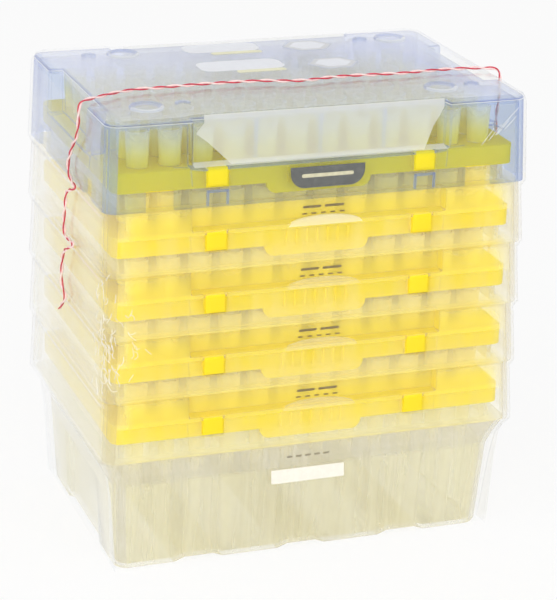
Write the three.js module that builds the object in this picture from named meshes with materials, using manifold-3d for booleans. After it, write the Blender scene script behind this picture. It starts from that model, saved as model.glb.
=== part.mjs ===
// A sealed refill stack of pipette tips: five racks of tips, each on its own clear tray,
// nested under one lid, held together by shrink film with a tear string.
// Millimetres, +Z up, X along the long front, -Y the front, origin under the feet.
import * as THREE from 'three';
import { mergeVertices } from 'three/addons/utils/BufferGeometryUtils.js';
import Module from 'manifold-3d';

const wasm = await Module();
wasm.setup();

// ---- Driving dimensions -----------------------------------------------------------------

const gap = 0.3; // free space between pieces that touch

const columns = 12; // tips along X
const rows = 8; // tips along Y
const tipFieldLength = 99; // from the first column to the last: the standard 9 mm grid
const tipFieldWidth = 63; // from the first row to the last
const tipLength = 51;
const tipHeadHeight = 10; // the part of a tip that stands above its deck
const tipRimRadius = 3.5;
const tipNeckRadius = 3.05; // where the head meets the deck
const tipWall = 0.55;
const tipSides = 4;

const layers = 5;
const layerPitch = 18; // from one deck to the next
const lowestDeckHeight = 46; // top of the lowest deck above the table

const deckThickness = 2;
const rackWall = 1.2;
const rackSkirtDrop = 5.5; // bottom of the rack's skirt below its deck
const tongueDrop = 8.5;
const tongueWidth = 30;
const tongueRadius = 3;
const clipWidth = 5.6;
const clipRise = 1.1;
const clipDrop = 4.3;
const clipSpacing = 59.8; // between the two clips on one long side

const trayWall = 1.2;
const endRoom = 2.3; // from the last tip to the tray's neck along X
const frontRoom = 0.6; // the same along Y
const shoulderDrop = 10; // shoulder of a tray below its deck
const hoodRoom = 1.1; // from the rack's skirt to the hood around it
const hoodFlareWidth = 0.9; // what a hood widens by from top to bottom
const edgeRadius = 4; // upright corners
const shoulderRound = 0.8;
const ledgeRise = 1.6; // step in a hood's front above the deck it covers
const recessDepth = 2.7;
const recessWidth = 73;

const lidWall = 1.2;
const lidRise = 14; // top of the lid above the highest deck
const lidTopRound = 1.5;
const sideRecessDepth = 4;
const sideRecessLength = 40;
const notchWidth = 8;
const notchHeight = 5.7;
const frontApron = 84; // middle stretch of the lid's lower edge, on the front and back
const sideApron = 40;
const ribSpacing = 18;
const ribWidth = 0.8;
const ribHeight = 0.5;
const grooveDepth = 0.5;
const dimpleRadius = 4.6;
const dimpleDepth = 0.6;
const dimplePlaces = [[-0.758, -0.609], [0.694, -0.609], [-0.592, 0.825], [0.824, 0.825]]; // shares of the hood
const archRadius = 2.2;
const archHeight = 0.5;
const archPlaces = [[-0.585, -0.609], [0.854, -0.609], [-0.768, 0.812], [0.658, 0.812]];

const windowRoom = 0.6; // around a clip in its window
const pushPadWidth = 21.5; // the half-moon pad on the ledge of each tray
const pushPadHeight = 2.7;

const baseFunnelHeight = 4; // below the shoulder the base draws in twice
const baseFunnelInset = 2.1;
const baseWaistHeight = 5;
const baseWaistInset = 1.4;
const baseEndDraft = 1; // from the waist down to the floor
const baseFrontDraft = 2.8;
const baseFloor = 1.3;
const baseFloorRound = 1.5;
const channelCount = 3;
const channelWidth = 11.5;
const channelHeight = 1.3;
const channelSlope = 1.5;
const baseRecessDepth = 3;
const baseRecessLength = 34;
const baseRecessHeight = 22;

const labelWidth = 22;
const labelHeight = 4;
const labelThickness = 0.3;
const labelDrop = 0.1; // top of the label below the base's waist

const filmThickness = 0.3;
const filmClearance = 0.8;
const filmTuck = 2; // how far below a lower edge the film lies back against the next tray
const filmHem = 1.2; // the film's lower hem above the table

const stringRadius = 0.5;

// ---- Sizes that follow ------------------------------------------------------------------

// Half sizes in plan, [x, y], from the field of tips outwards
const grow = ([x, y], by) => [x + by, y + by];
const tipField = [tipFieldLength / 2 + tipRimRadius, tipFieldWidth / 2 + tipRimRadius];
const neckInside = [tipField[0] + endRoom, tipField[1] + frontRoom];
const neckOutside = grow(neckInside, trayWall);
const rackInside = grow(neckOutside, gap);
const rackOutside = grow(rackInside, rackWall);
const hoodInside = grow(rackOutside, hoodRoom);

const deckHeight = (layer) => lowestDeckHeight + (layers - layer) * layerPitch; // layer 1 is the top one
const lidTop = deckHeight(1) + lidRise;
const baseShoulder = deckHeight(layers) - shoulderDrop - gap;

// ---- Shape helpers ----------------------------------------------------------------------

const cornerSteps = 3;

// A rounded rectangle as a ring of points, counter-clockwise
function ring([halfX, halfY], radius) {
  const points = [];
  for (let corner = 0; corner < 4; corner += 1) {
    const sideX = corner === 0 || corner === 3 ? 1 : -1;
    const sideY = corner < 2 ? 1 : -1;
    for (let step = 0; step <= cornerSteps; step += 1) {
      const angle = (corner + step / cornerSteps) * Math.PI / 2;
      points.push([
        sideX * (halfX - radius) + radius * Math.cos(angle),
        sideY * (halfY - radius) + radius * Math.sin(angle),
      ]);
    }
  }
  return points;
}

// A closed solid through rounded rectangles: each section is [height, half size, corner radius]
function loft(sections) {
  const rings = sections.map(([, half, radius]) => ring(half, radius));
  const count = rings[0].length;
  const positions = [];
  rings.forEach((points, level) => points.forEach(([x, y]) => positions.push(x, y, sections[level][0])));
  const index = [];
  for (let level = 0; level + 1 < rings.length; level += 1) {
    for (let i = 0; i < count; i += 1) {
      const a = level * count + i;
      const b = level * count + (i + 1) % count;
      index.push(a, b, b + count, a, b + count, a + count);
    }
  }
  const last = (rings.length - 1) * count;
  for (let i = 1; i + 1 < count; i += 1) {
    index.push(0, i + 1, i);
    index.push(last, last + i, last + i + 1);
  }
  const geometry = new THREE.BufferGeometry();
  geometry.setAttribute('position', new THREE.Float32BufferAttribute(positions, 3));
  geometry.setIndex(index);
  return solid(geometry);
}

// A three.js geometry as a solid that can be joined and cut
function solid(geometry) {
  const bare = geometry.clone();
  bare.deleteAttribute('normal');
  bare.deleteAttribute('uv');
  const merged = mergeVertices(bare, 1e-4);
  const source = merged.index.array;
  const triangles = [];
  for (let i = 0; i < source.length; i += 3) {
    const [a, b, c] = [source[i], source[i + 1], source[i + 2]];
    if (a !== b && b !== c && c !== a) triangles.push(a, b, c);
  }
  return new wasm.Manifold(new wasm.Mesh({
    numProp: 3,
    vertProperties: new Float32Array(merged.attributes.position.array),
    triVerts: new Uint32Array(triangles),
  }));
}

function block([x0, x1], [y0, y1], [z0, z1]) {
  const geometry = new THREE.BoxGeometry(x1 - x0, y1 - y0, z1 - z0);
  geometry.translate((x0 + x1) / 2, (y0 + y1) / 2, (z0 + z1) / 2);
  return solid(geometry);
}

// An outline in X and Z, extruded along Y from y0 to y1
function slab(shape, y0, y1) {
  const geometry = new THREE.ExtrudeGeometry(shape, { depth: y1 - y0, bevelEnabled: false, curveSegments: 3 });
  geometry.rotateX(Math.PI / 2);
  geometry.translate(0, y1, 0);
  return solid(geometry);
}

const join = (solids) => solids.reduce((sum, next) => sum.add(next));
const cut = (body, tools) => tools.reduce((rest, tool) => rest.subtract(tool), body);
const onBothSides = (make) => [1, -1].map(make);

// The same block on the front and back (axis 1) or the two ends (axis 0):
// along is its range on the other axis, reach its range outwards, height its range on Z
function sideBlock(axis, side, along, reach, height) {
  const outwards = side > 0 ? reach : [-reach[1], -reach[0]];
  return axis === 0 ? block(outwards, along, height) : block(along, outwards, height);
}

function piece(name, body, material) {
  const mesh = body.getMesh();
  const geometry = new THREE.BufferGeometry();
  geometry.setAttribute('position', new THREE.Float32BufferAttribute(mesh.vertProperties, 3));
  geometry.setIndex(new THREE.Uint32BufferAttribute(mesh.triVerts, 1));
  geometry.computeVertexNormals();
  const part = new THREE.Mesh(geometry, material);
  part.name = name;
  return part;
}

// ---- Materials --------------------------------------------------------------------------

const clearPlastic = (color, opacity) => new THREE.MeshStandardMaterial({
  color, roughness: 0.12, metalness: 0, transparent: true, opacity,
});
const blueClear = clearPlastic(0xb9c6ea, 0.45);
const milkyPlastic = new THREE.MeshStandardMaterial({
  color: 0xe6e2cf, roughness: 0.4, metalness: 0, transparent: true, opacity: 0.6,
});
const yellowPlastic = new THREE.MeshStandardMaterial({ color: 0xf7e437, roughness: 0.38, metalness: 0 });
const filmPlastic = clearPlastic(0xffffff, 0.12);
const redString = new THREE.MeshStandardMaterial({ color: 0xd8404a, roughness: 0.6, metalness: 0 });
const whitePaper = new THREE.MeshStandardMaterial({ color: 0xf6f5ee, roughness: 0.7, metalness: 0 });

// ---- Hoods: the shape that the lid and the trays share -----------------------------------

const reachOut = 5; // how far a cutting block runs past a face

// Half size of a hood's inner face at a height, between its bottom and its top
function hoodHalf(height, bottom, top) {
  return grow(hoodInside, hoodFlareWidth * (top - height) / (top - bottom));
}

// The blocks that step a hood's sides in above a ledge, each set in by depth from the outer face
function recesses(axis, length, half, depth, ledge, top, extra) {
  return onBothSides((side) => sideBlock(
    axis,
    side,
    [-length / 2 - extra, length / 2 + extra],
    [half[axis] - depth - extra, half[axis] + reachOut],
    [ledge - extra, top + reachOut],
  ));
}

// The space under a hood, and the hood's outer form, for a wall of one thickness
function hoodForms({ bottom, top, wall, round, deck, sides }) {
  const inner = (height) => hoodHalf(height, bottom, top);
  const outer = (height) => grow(inner(height), wall);
  const ledge = deck + ledgeRise;
  const topHalf = outer(top);
  const steps = (extra) => [
    ...recesses(1, recessWidth, topHalf, recessDepth, ledge, top, extra),
    ...(sides ? recesses(0, sideRecessLength, topHalf, sideRecessDepth, ledge, top, extra) : []),
  ];
  const outerForm = cut(loft([
    [bottom, outer(bottom), edgeRadius],
    [top - round, outer(top - round), edgeRadius],
    [top - round * 0.3, grow(outer(top), -round * 0.3), edgeRadius - round * 0.3],
    [top, grow(outer(top), -round), edgeRadius - round],
  ]), steps(0));
  const innerForm = cut(loft([
    [bottom - reachOut, inner(bottom - reachOut), edgeRadius - wall],
    [top - wall, inner(top - wall), edgeRadius - wall],
  ]), steps(wall));
  return { outerForm, innerForm, outer };
}

// Windows for the clips of the rack under a hood, with a shallow groove from each to the lower edge
function clipWindows(outer, deck, bottom, wall) {
  return onBothSides((side) => onBothSides((end) => {
    const middle = end * clipSpacing / 2;
    const half = clipWidth / 2 + windowRoom;
    const window = sideBlock(
      1,
      side,
      [middle - half, middle + half],
      [rackOutside[1] - rackWall / 2 - gap, outer(bottom)[1] + reachOut],
      [deck - clipDrop - windowRoom, deck + clipRise + windowRoom],
    );
    const groove = sideBlock(
      1,
      side,
      [middle - clipWidth / 2, middle + clipWidth / 2],
      [rackOutside[1], outer(bottom)[1] - wall + grooveDepth],
      [bottom - reachOut, deck - clipDrop - windowRoom / 2],
    );
    return [window, groove];
  })).flat(2);
}

// ---- Lid --------------------------------------------------------------------------------

function lidNotches(outer, bottom) {
  const height = [bottom - reachOut, bottom + notchHeight];
  const place = (axis, apron) => onBothSides((side) => onBothSides((end) => {
    const start = end * apron / 2;
    const finish = end * (apron / 2 + notchWidth);
    const along = [Math.min(start, finish), Math.max(start, finish)];
    return sideBlock(axis, side, along, [hoodInside[axis] - reachOut, outer(bottom)[axis] + reachOut], height);
  })).flat();
  return [...place(1, frontApron), ...place(0, sideApron)];
}

// Slim ribs on the inner face of the lid's recessed front and back
function lidRibs(outer, top, ledge) {
  const face = outer(top)[1] - recessDepth - lidWall;
  return [-1, 0, 1].flatMap((place) => onBothSides((side) => sideBlock(
    1,
    side,
    [place * ribSpacing - ribWidth / 2, place * ribSpacing + ribWidth / 2],
    [face - ribHeight, face + lidWall / 2],
    [ledge - lidWall / 2, top - lidWall / 2],
  )));
}

// Round shallow hollows in the lid's top
function lidDimples(top) {
  return dimplePlaces.map(([shareX, shareY]) => {
    const geometry = new THREE.CylinderGeometry(dimpleRadius, dimpleRadius - dimpleDepth, 2 * dimpleDepth, 16);
    geometry.rotateX(Math.PI / 2);
    geometry.translate(shareX * hoodInside[0], shareY * hoodInside[1], top);
    return solid(geometry);
  });
}

// Small arched marks that stand on the lid's top
function lidArches(top) {
  return archPlaces.map(([shareX, shareY]) => {
    const shape = new THREE.Shape();
    shape.absarc(0, 0, archRadius, 0, Math.PI);
    shape.absarc(0, 0, archRadius * 0.6, Math.PI, 0, true);
    const geometry = new THREE.ExtrudeGeometry(shape, {
      depth: archHeight + lidWall / 2, bevelEnabled: false, curveSegments: 6,
    });
    geometry.translate(shareX * hoodInside[0], shareY * hoodInside[1], top - lidWall / 2);
    return solid(geometry);
  });
}

function lid() {
  const deck = deckHeight(1);
  const bottom = deck - shoulderDrop;
  const { outerForm, innerForm, outer } = hoodForms({
    bottom, top: lidTop, wall: lidWall, round: lidTopRound, deck, sides: true,
  });
  const shell = cut(outerForm, [innerForm]);
  const ribbed = join([shell, ...lidRibs(outer, lidTop, deck + ledgeRise), ...lidArches(lidTop)]);
  return cut(ribbed, [
    ...clipWindows(outer, deck, bottom, lidWall),
    ...lidNotches(outer, bottom),
    ...lidDimples(lidTop),
  ]);
}

// ---- Trays ------------------------------------------------------------------------------

// The upright collar under a deck: its outer form, and the way through it
function neckForms(deck) {
  const top = deck - deckThickness - gap;
  const foot = deck - shoulderDrop - gap - trayWall;
  const outerForm = loft([[foot, neckOutside, edgeRadius - trayWall], [top, neckOutside, edgeRadius - trayWall]]);
  const innerForm = loft([
    [foot - reachOut, neckInside, edgeRadius - 2 * trayWall],
    [top + reachOut, neckInside, edgeRadius - 2 * trayWall],
  ]);
  return { outerForm, innerForm };
}

// Half-moon pads that stand on the ledges of a tray, to push on
function pushPads(outer, top, ledge) {
  const shape = new THREE.Shape();
  shape.moveTo(pushPadWidth / 2, ledge - trayWall / 2);
  shape.absellipse(0, ledge, pushPadWidth / 2, pushPadHeight, 0, Math.PI);
  shape.lineTo(-pushPadWidth / 2, ledge - trayWall / 2);
  const face = outer(top)[1];
  return onBothSides((side) => {
    const faces = [side * (face - recessDepth - trayWall / 2), side * face].sort((a, b) => a - b);
    return slab(shape, ...faces);
  });
}

function tray(layer) {
  const deck = deckHeight(layer);
  const deckBelow = deckHeight(layer + 1);
  const bottom = deckBelow - shoulderDrop;
  const top = deck - shoulderDrop - gap;
  const hood = hoodForms({
    bottom, top, wall: trayWall, round: shoulderRound, deck: deckBelow, sides: false,
  });
  const neck = neckForms(deck);
  const shell = cut(join([hood.outerForm, neck.outerForm]), [
    hood.innerForm,
    neck.innerForm,
    ...clipWindows(hood.outer, deckBelow, bottom, trayWall),
  ]);
  return join([shell, ...pushPads(hood.outer, top, deckBelow + ledgeRise)]);
}

// ---- Base -------------------------------------------------------------------------------

// The base's outer half size and corner radius at its main heights, from the shoulder down
function baseSections() {
  const shoulder = grow(hoodInside, trayWall);
  const funnel = grow(shoulder, -baseFunnelInset);
  const waist = grow(funnel, -baseWaistInset);
  const foot = [waist[0] - baseEndDraft, waist[1] - baseFrontDraft];
  return [
    [0, grow(foot, -baseFloorRound), edgeRadius - baseFloorRound],
    [baseFloorRound * 0.3, grow(foot, -baseFloorRound * 0.3), edgeRadius - baseFloorRound * 0.3],
    [baseFloorRound, foot, edgeRadius],
    [baseShoulder - baseFunnelHeight - baseWaistHeight, waist, edgeRadius],
    [baseShoulder - baseFunnelHeight, funnel, edgeRadius],
    [baseShoulder - shoulderRound, shoulder, edgeRadius],
    [baseShoulder, grow(shoulder, -shoulderRound), edgeRadius - shoulderRound],
  ];
}

// Channels under the floor, from front to back
function baseChannels() {
  const width = 2 * baseSections()[2][1][0];
  const foot = (width - channelCount * channelWidth) / (channelCount + 1);
  const reach = baseSections()[2][1][1] + reachOut;
  return Array.from({ length: channelCount }, (_, place) => {
    const middle = (place - (channelCount - 1) / 2) * (foot + channelWidth);
    const shape = new THREE.Shape([
      new THREE.Vector2(middle - channelWidth / 2 - channelSlope, -channelHeight),
      new THREE.Vector2(middle + channelWidth / 2 + channelSlope, -channelHeight),
      new THREE.Vector2(middle + channelWidth / 2 - channelSlope, channelHeight),
      new THREE.Vector2(middle - channelWidth / 2 + channelSlope, channelHeight),
    ]);
    return slab(shape, -reach, reach);
  });
}

function baseTray() {
  const sections = baseSections();
  const waist = sections[3][1];
  const endRecess = (extra) => recesses(
    0, baseRecessLength, waist, baseRecessDepth, 0, baseRecessHeight - reachOut, extra,
  );
  const outerForm = cut(loft(sections), endRecess(0));
  const floorTop = channelHeight + baseFloor;
  const innerForm = cut(loft([
    [floorTop, grow(sections[2][1], -trayWall), edgeRadius - trayWall],
    [sections[3][0], grow(sections[3][1], -trayWall), edgeRadius - trayWall],
    [sections[4][0], grow(sections[4][1], -trayWall), edgeRadius - trayWall],
    [baseShoulder - trayWall, grow(hoodInside, -trayWall / 2), edgeRadius - trayWall],
  ]), endRecess(trayWall));
  const neck = neckForms(deckHeight(layers));
  return cut(join([outerForm, neck.outerForm]), [innerForm, neck.innerForm, ...baseChannels()]);
}

// ---- Racks with their tips ---------------------------------------------------------------

// A solid turned about the upright axis from points of radius and height
function turned(points) {
  const profile = points.map(([radius, height]) => new THREE.Vector2(radius, height));
  const geometry = new THREE.LatheGeometry(profile, tipSides);
  geometry.rotateX(Math.PI / 2);
  return solid(geometry);
}

// A tip, with its deck's top at height 0: its outside from point to rim, then its bore
function tipForm() {
  const slope = tipNeckRadius / (tipLength - tipHeadHeight);
  const boreTop = tipRimRadius - tipWall;
  return turned([
    [0, tipHeadHeight - tipLength],
    [tipNeckRadius, 0],
    [tipRimRadius, tipHeadHeight],
    [boreTop, tipHeadHeight],
    [0, tipHeadHeight - boreTop / slope],
  ]);
}

// What is cleared from a deck before a tip is set in it
function tipHole() {
  const radius = (tipNeckRadius + tipRimRadius - tipWall) / 2 - tipWall / 2;
  return turned([[0, -deckThickness - 1], [radius, -deckThickness - 1], [radius, 1], [0, 1]]);
}

// Copies of a form at each tip's place in a rack
function atTips(form, deck) {
  const copies = [];
  for (let column = 0; column < columns; column += 1) {
    for (let row = 0; row < rows; row += 1) {
      copies.push(form.translate([
        (column / (columns - 1) - 0.5) * tipFieldLength,
        (row / (rows - 1) - 0.5) * tipFieldWidth,
        deck,
      ]));
    }
  }
  return copies;
}

// The rounded tongue that hangs from the middle of a rack's front and back
function tongueShape(deck) {
  const half = tongueWidth / 2;
  const low = deck - tongueDrop;
  const shape = new THREE.Shape();
  shape.moveTo(-half, deck - deckThickness);
  shape.lineTo(-half, low + tongueRadius);
  shape.absarc(-half + tongueRadius, low + tongueRadius, tongueRadius, Math.PI, 1.5 * Math.PI);
  shape.absarc(half - tongueRadius, low + tongueRadius, tongueRadius, 1.5 * Math.PI, 2 * Math.PI);
  shape.lineTo(half, deck - deckThickness);
  return shape;
}

function rackClips(deck) {
  const face = hoodInside[1] + trayWall;
  return onBothSides((side) => onBothSides((end) => sideBlock(
    1,
    side,
    [end * clipSpacing / 2 - clipWidth / 2, end * clipSpacing / 2 + clipWidth / 2],
    [rackOutside[1] - rackWall / 2, face],
    [deck - clipDrop, deck + clipRise],
  ))).flat();
}

function rack(layer) {
  const deck = deckHeight(layer);
  const corner = edgeRadius - trayWall;
  const skirt = cut(
    loft([[deck - rackSkirtDrop, rackOutside, corner], [deck, rackOutside, corner]]),
    [loft([
      [deck - rackSkirtDrop - reachOut, rackInside, corner - rackWall / 2],
      [deck - deckThickness, rackInside, corner - rackWall / 2],
    ])],
  );
  const tongues = onBothSides((side) => {
    const faces = [side * rackOutside[1], side * rackInside[1]].sort((a, b) => a - b);
    return slab(tongueShape(deck), ...faces);
  });
  const body = join([skirt, ...tongues, ...rackClips(deck)]);
  return join([cut(body, atTips(tipHole(), deck)), ...atTips(tipForm(), deck)]);
}

// ---- Label, film and string --------------------------------------------------------------

function label() {
  const [, , foot, waist] = baseSections();
  const lean = (foot[1][1] - waist[1][1]) / (waist[0] - foot[0]);
  const geometry = new THREE.BoxGeometry(labelWidth, labelThickness, labelHeight);
  geometry.rotateX(-Math.atan(lean));
  const middle = waist[0] - labelDrop - labelHeight / 2;
  const face = waist[1][1] + lean * (waist[0] - middle);
  geometry.translate(0, -(face + gap + labelThickness / 2), middle);
  return solid(geometry);
}

// The film's faces, at some distance off the stack: in over the base, out at each lower edge
function filmSections(room) {
  const [, , foot, waist, funnel] = baseSections();
  const upper = grow(hoodInside, trayWall);
  const edge = grow(upper, hoodFlareWidth);
  const corner = edgeRadius + room;
  const steps = [];
  for (let layer = layers; layer >= 1; layer -= 1) {
    const level = deckHeight(layer) - shoulderDrop;
    if (layer < layers) steps.push([level - filmTuck, grow(upper, room), corner]);
    steps.push([level, grow(edge, room), corner]);
  }
  return [
    [filmHem, grow(foot[1], room), corner],
    [waist[0] - labelHeight, grow(waist[1], room + labelThickness), corner],
    [funnel[0], grow(funnel[1], room), corner],
    ...steps,
    [lidTop - lidTopRound, grow(hoodInside, lidWall + room), corner],
    [lidTop + room, grow(hoodInside, lidWall + room - lidTopRound), corner - lidTopRound],
  ];
}

function film() {
  const inner = filmSections(filmClearance);
  const outer = filmSections(filmClearance + filmThickness);
  const [, half, corner] = inner[0];
  return cut(loft(outer), [loft([[filmHem - reachOut, half, corner], ...inner])]);
}

// The tear string: up the left end, over the top and down the right end, outside the film.
// Its points are shares of the stack: [across, up] on the ends, [along, across] on the top.
function tearString() {
  const room = filmClearance + filmThickness + gap + stringRadius;
  const side = hoodInside[0] + trayWall + hoodFlareWidth + room;
  const high = lidTop + room;
  const onEnd = (x, points) => points.map(([across, up]) => new THREE.Vector3(
    x, across * hoodInside[1], up * lidTop,
  ));
  const onTop = (points, inwards = 0) => points.map(([along, across]) => new THREE.Vector3(
    along * (side - inwards), across * hoodInside[1], high - inwards,
  ));
  const left = onEnd(-side, [
    [-0.038, 0.515], [-0.19, 0.561], [-0.102, 0.583], [-0.152, 0.652], [-0.406, 0.697],
    [-0.178, 0.701], [-0.203, 0.765], [-0.241, 0.795], [-0.457, 0.826], [-0.305, 0.841],
    [-0.292, 0.864], [-0.381, 0.902], [-0.508, 0.939], [-0.558, 0.97],
  ]);
  const over = onTop([
    [-0.903, -0.47], [-0.729, -0.343], [-0.602, -0.33], [-0.412, -0.312], [-0.143, -0.322],
    [0.032, -0.386], [0.238, -0.345], [0.523, -0.365], [0.713, -0.343], [0.903, -0.368],
  ]);
  const right = onEnd(side, [
    [-0.406, 0.97], [-0.381, 0.894], [-0.431, 0.818], [-0.393, 0.742], [-0.419, 0.667],
    [-0.381, 0.576],
  ]);
  const [turnLeft, turnRight] = onTop([[-1, -0.546], [1, -0.393]], stringRadius * 1.3);
  const route = new THREE.CatmullRomCurve3(
    [...left, turnLeft, ...over, turnRight, ...right], false, 'centripetal',
  );
  const section = new THREE.Shape();
  section.absarc(0, 0, stringRadius, 0, 2 * Math.PI);
  return solid(new THREE.ExtrudeGeometry(section, { steps: 70, curveSegments: 4, extrudePath: route }));
}

// ---- The stack --------------------------------------------------------------------------

const stack = new THREE.Group();
stack.add(piece('lid', lid(), blueClear));
for (let layer = 1; layer <= layers; layer += 1) {
  stack.add(piece(`tip_rack_${layer}`, rack(layer), yellowPlastic));
  if (layer < layers) stack.add(piece(`tray_${layer}`, tray(layer), milkyPlastic));
}
stack.add(piece('base_tray', baseTray(), milkyPlastic));
stack.add(piece('label', label(), whitePaper));
stack.add(piece('shrink_film', film(), filmPlastic));
stack.add(piece('tear_string', tearString(), redString));

export default stack;
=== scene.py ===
# %% [markdown]
# # A sealed refill stack of pipette tips
# Five yellow racks full of tips stand on clear trays, one nested in the next, under a blue-tinted lid.
# Shrink film and a tear string hold the stack together. Nothing moves until the film is cut, so every
# piece rides on the one body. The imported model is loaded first, because every size and place comes from it.

# %% Load the fixed frame
import math
import random

import bmesh
import bpy
from mathutils import Matrix, Vector
from mathutils.bvhtree import BVHTree


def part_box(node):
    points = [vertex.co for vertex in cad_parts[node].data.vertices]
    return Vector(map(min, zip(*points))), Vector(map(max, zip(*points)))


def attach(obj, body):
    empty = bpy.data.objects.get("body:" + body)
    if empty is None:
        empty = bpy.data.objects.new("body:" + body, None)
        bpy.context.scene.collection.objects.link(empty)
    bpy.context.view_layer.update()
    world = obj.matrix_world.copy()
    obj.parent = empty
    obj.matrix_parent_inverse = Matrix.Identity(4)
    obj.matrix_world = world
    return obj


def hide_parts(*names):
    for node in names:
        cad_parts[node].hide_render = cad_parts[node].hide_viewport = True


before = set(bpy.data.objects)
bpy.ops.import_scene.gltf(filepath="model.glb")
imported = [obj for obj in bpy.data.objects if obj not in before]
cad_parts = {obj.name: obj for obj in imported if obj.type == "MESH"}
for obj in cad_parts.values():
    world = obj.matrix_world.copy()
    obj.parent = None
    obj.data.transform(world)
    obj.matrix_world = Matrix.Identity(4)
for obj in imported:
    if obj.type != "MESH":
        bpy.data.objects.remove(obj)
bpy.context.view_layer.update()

MM = 0.001

# %% [markdown]
# The camera stands a little above the stack and to the left of its front, so that the lid's top, the long
# front and a narrow slice of the left end show. A long lens keeps the upright edges nearly parallel. The
# small shift places the stack in the frame without turning the camera away from it.

# %% Camera
def add_thing(name, data):
    """An object with this data, in the scene."""
    thing = bpy.data.objects.new(name, data)
    bpy.context.scene.collection.objects.link(thing)
    return thing


VIEW_ANGLES = (-20.06, 19.51, 1.593)
AIM_HEIGHT, VIEW_DISTANCE = 0.072, 0.6813
LENS, SHIFT = 140.1, (0.0172, -0.0438)

azimuth, elevation, roll = (math.radians(angle) for angle in VIEW_ANGLES)
aim = Vector((0, 0, AIM_HEIGHT))
back = Vector((
    math.sin(azimuth) * math.cos(elevation),
    -math.cos(azimuth) * math.cos(elevation),
    math.sin(elevation),
))
right = Vector((math.cos(azimuth), math.sin(azimuth), 0))
axes = Matrix.Rotation(roll, 3, back) @ Matrix((right, back.cross(right), back)).transposed()

camera_data = bpy.data.cameras.new("camera")
camera_data.lens = LENS
camera_data.shift_x, camera_data.shift_y = SHIFT
camera = add_thing("camera", camera_data)
camera.matrix_world = Matrix.Translation(aim + VIEW_DISTANCE * back) @ axes.to_4x4()
bpy.context.scene.camera = camera
bpy.context.scene.view_settings.view_transform = "Standard"
print("camera at", [round(value, 3) for value in camera.location])

# %% [markdown]
# Every finish is a tree of shader nodes. One small class wraps a node's output, so that plain Python sums
# such as 1 - mask add the Math nodes, and one method makes any other node. This reads better than
# pages of links, and a formula can be changed in one place.

# %% Shader helpers
def sum_node(operation, swapped=False):
    """A method that adds a Math node for an operator."""
    def added(self, *others):
        return self.maths(operation, *((*others, self) if swapped else (self, *others)))
    return added


class Signal:
    """A node's output in a tree. Python's operators on it add Math nodes."""

    def __init__(self, finish, socket):
        self.finish, self.socket = finish, socket

    def maths(self, operation, *values):
        return self.finish.node("Math", dict(enumerate(values)), operation=operation)

    __add__ = __radd__ = sum_node("ADD")
    __mul__ = __rmul__ = sum_node("MULTIPLY")
    __sub__, __rsub__ = sum_node("SUBTRACT"), sum_node("SUBTRACT", True)
    __truediv__, __rtruediv__ = sum_node("DIVIDE"), sum_node("DIVIDE", True)
    __pow__, __rpow__ = sum_node("POWER"), sum_node("POWER", True)
    __abs__, fraction = sum_node("ABSOLUTE"), sum_node("FRACT")


class Finish:
    """The node tree of a material or of the world."""

    def __init__(self, owner):
        self.owner = owner
        owner.use_nodes = True
        self.tree = owner.node_tree
        self.tree.nodes.clear()

    def node(self, kind, sockets=None, output=0, **settings):
        made = self.tree.nodes.new("ShaderNode" + kind)
        for name, value in settings.items():
            setattr(made, name, value)
        for name, value in (sockets or {}).items():
            if isinstance(value, Signal):
                self.tree.links.new(value.socket, made.inputs[name])
            else:
                made.inputs[name].default_value = value
        return Signal(self, made.outputs[output]) if made.outputs else made

    def mix(self, factor, first, second):
        return self.node("MixShader", {0: factor, 1: first, 2: second})

    def colours(self, factor, first, second):
        return self.node("Mix", {0: factor, 6: first, 7: second}, 2, data_type="RGBA")

    def ramp(self, value, low, high):
        """0 below low, 1 above high, and smooth between."""
        ends = {"Value": value, "From Min": low, "From Max": high}
        return self.node("MapRange", ends, interpolation_type="SMOOTHSTEP")

    def noise(self, scale, detail=3, place=None):
        """A noise pattern over the piece's own coordinates, or over a place."""
        place = place or self.node("TexCoord", output="Object")
        return self.node("TexNoise", {"Vector": place, "Scale": scale, "Detail": detail})

    def show(self, shader):
        world = isinstance(self.owner, bpy.types.World)
        self.node("OutputWorld" if world else "OutputMaterial", {"Surface": shader})
        return self.owner


def finish(name):
    return Finish(bpy.data.materials.new(name))


print("shader helpers ready")

# %% [markdown]
# The studio is white all round. The camera, and whatever is mirrored in the plastic, sees the world at
# full white, while the same world lights the object more softly. Three soft boxes add shape: a wide one in
# front, a little to the left, a weaker one at the left end, and a small one low at the right. Light has to
# pass dozens of clear walls and scatter between them, so it is given many steps.

# %% World and lamps
AMBIENT = 0.66
SOFT_BOXES = {  # the place, what it points at, its size and its power
    "front_box": ((-0.70, -1.31, 0.67), (0, 0, 0.07), (0.9, 0.7), 9),
    "left_box": ((-1.1, -0.35, 0.75), (0, 0, 0.07), (0.8, 0.8), 3),
    "right_box": ((0.455, -1.228, 0.385), (0, -0.04, 0.126), (0.55, 0.30), 4),
}
cycles = bpy.context.scene.cycles
cycles.transparent_max_bounces, cycles.max_bounces, cycles.diffuse_bounces = 64, 16, 8
studio = Finish(bpy.data.worlds.new("studio"))


def sees_white(tree, *kinds):
    """1 for the kinds of ray named, such as Is Camera Ray, and 0 for the rest."""
    first, *others = (tree.node("LightPath", output=kind) for kind in kinds)
    for other in others:
        first = first.maths("MAXIMUM", first, other)
    return first


shown = sees_white(studio, "Is Camera Ray", "Is Glossy Ray", "Is Transmission Ray")
bpy.context.scene.world = studio.show(studio.mix(
    shown,
    studio.node("Background", {"Color": (1, 1, 1, 1), "Strength": AMBIENT}),
    studio.node("Background", {"Color": (1, 1, 1, 1), "Strength": 1}),
))


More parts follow.
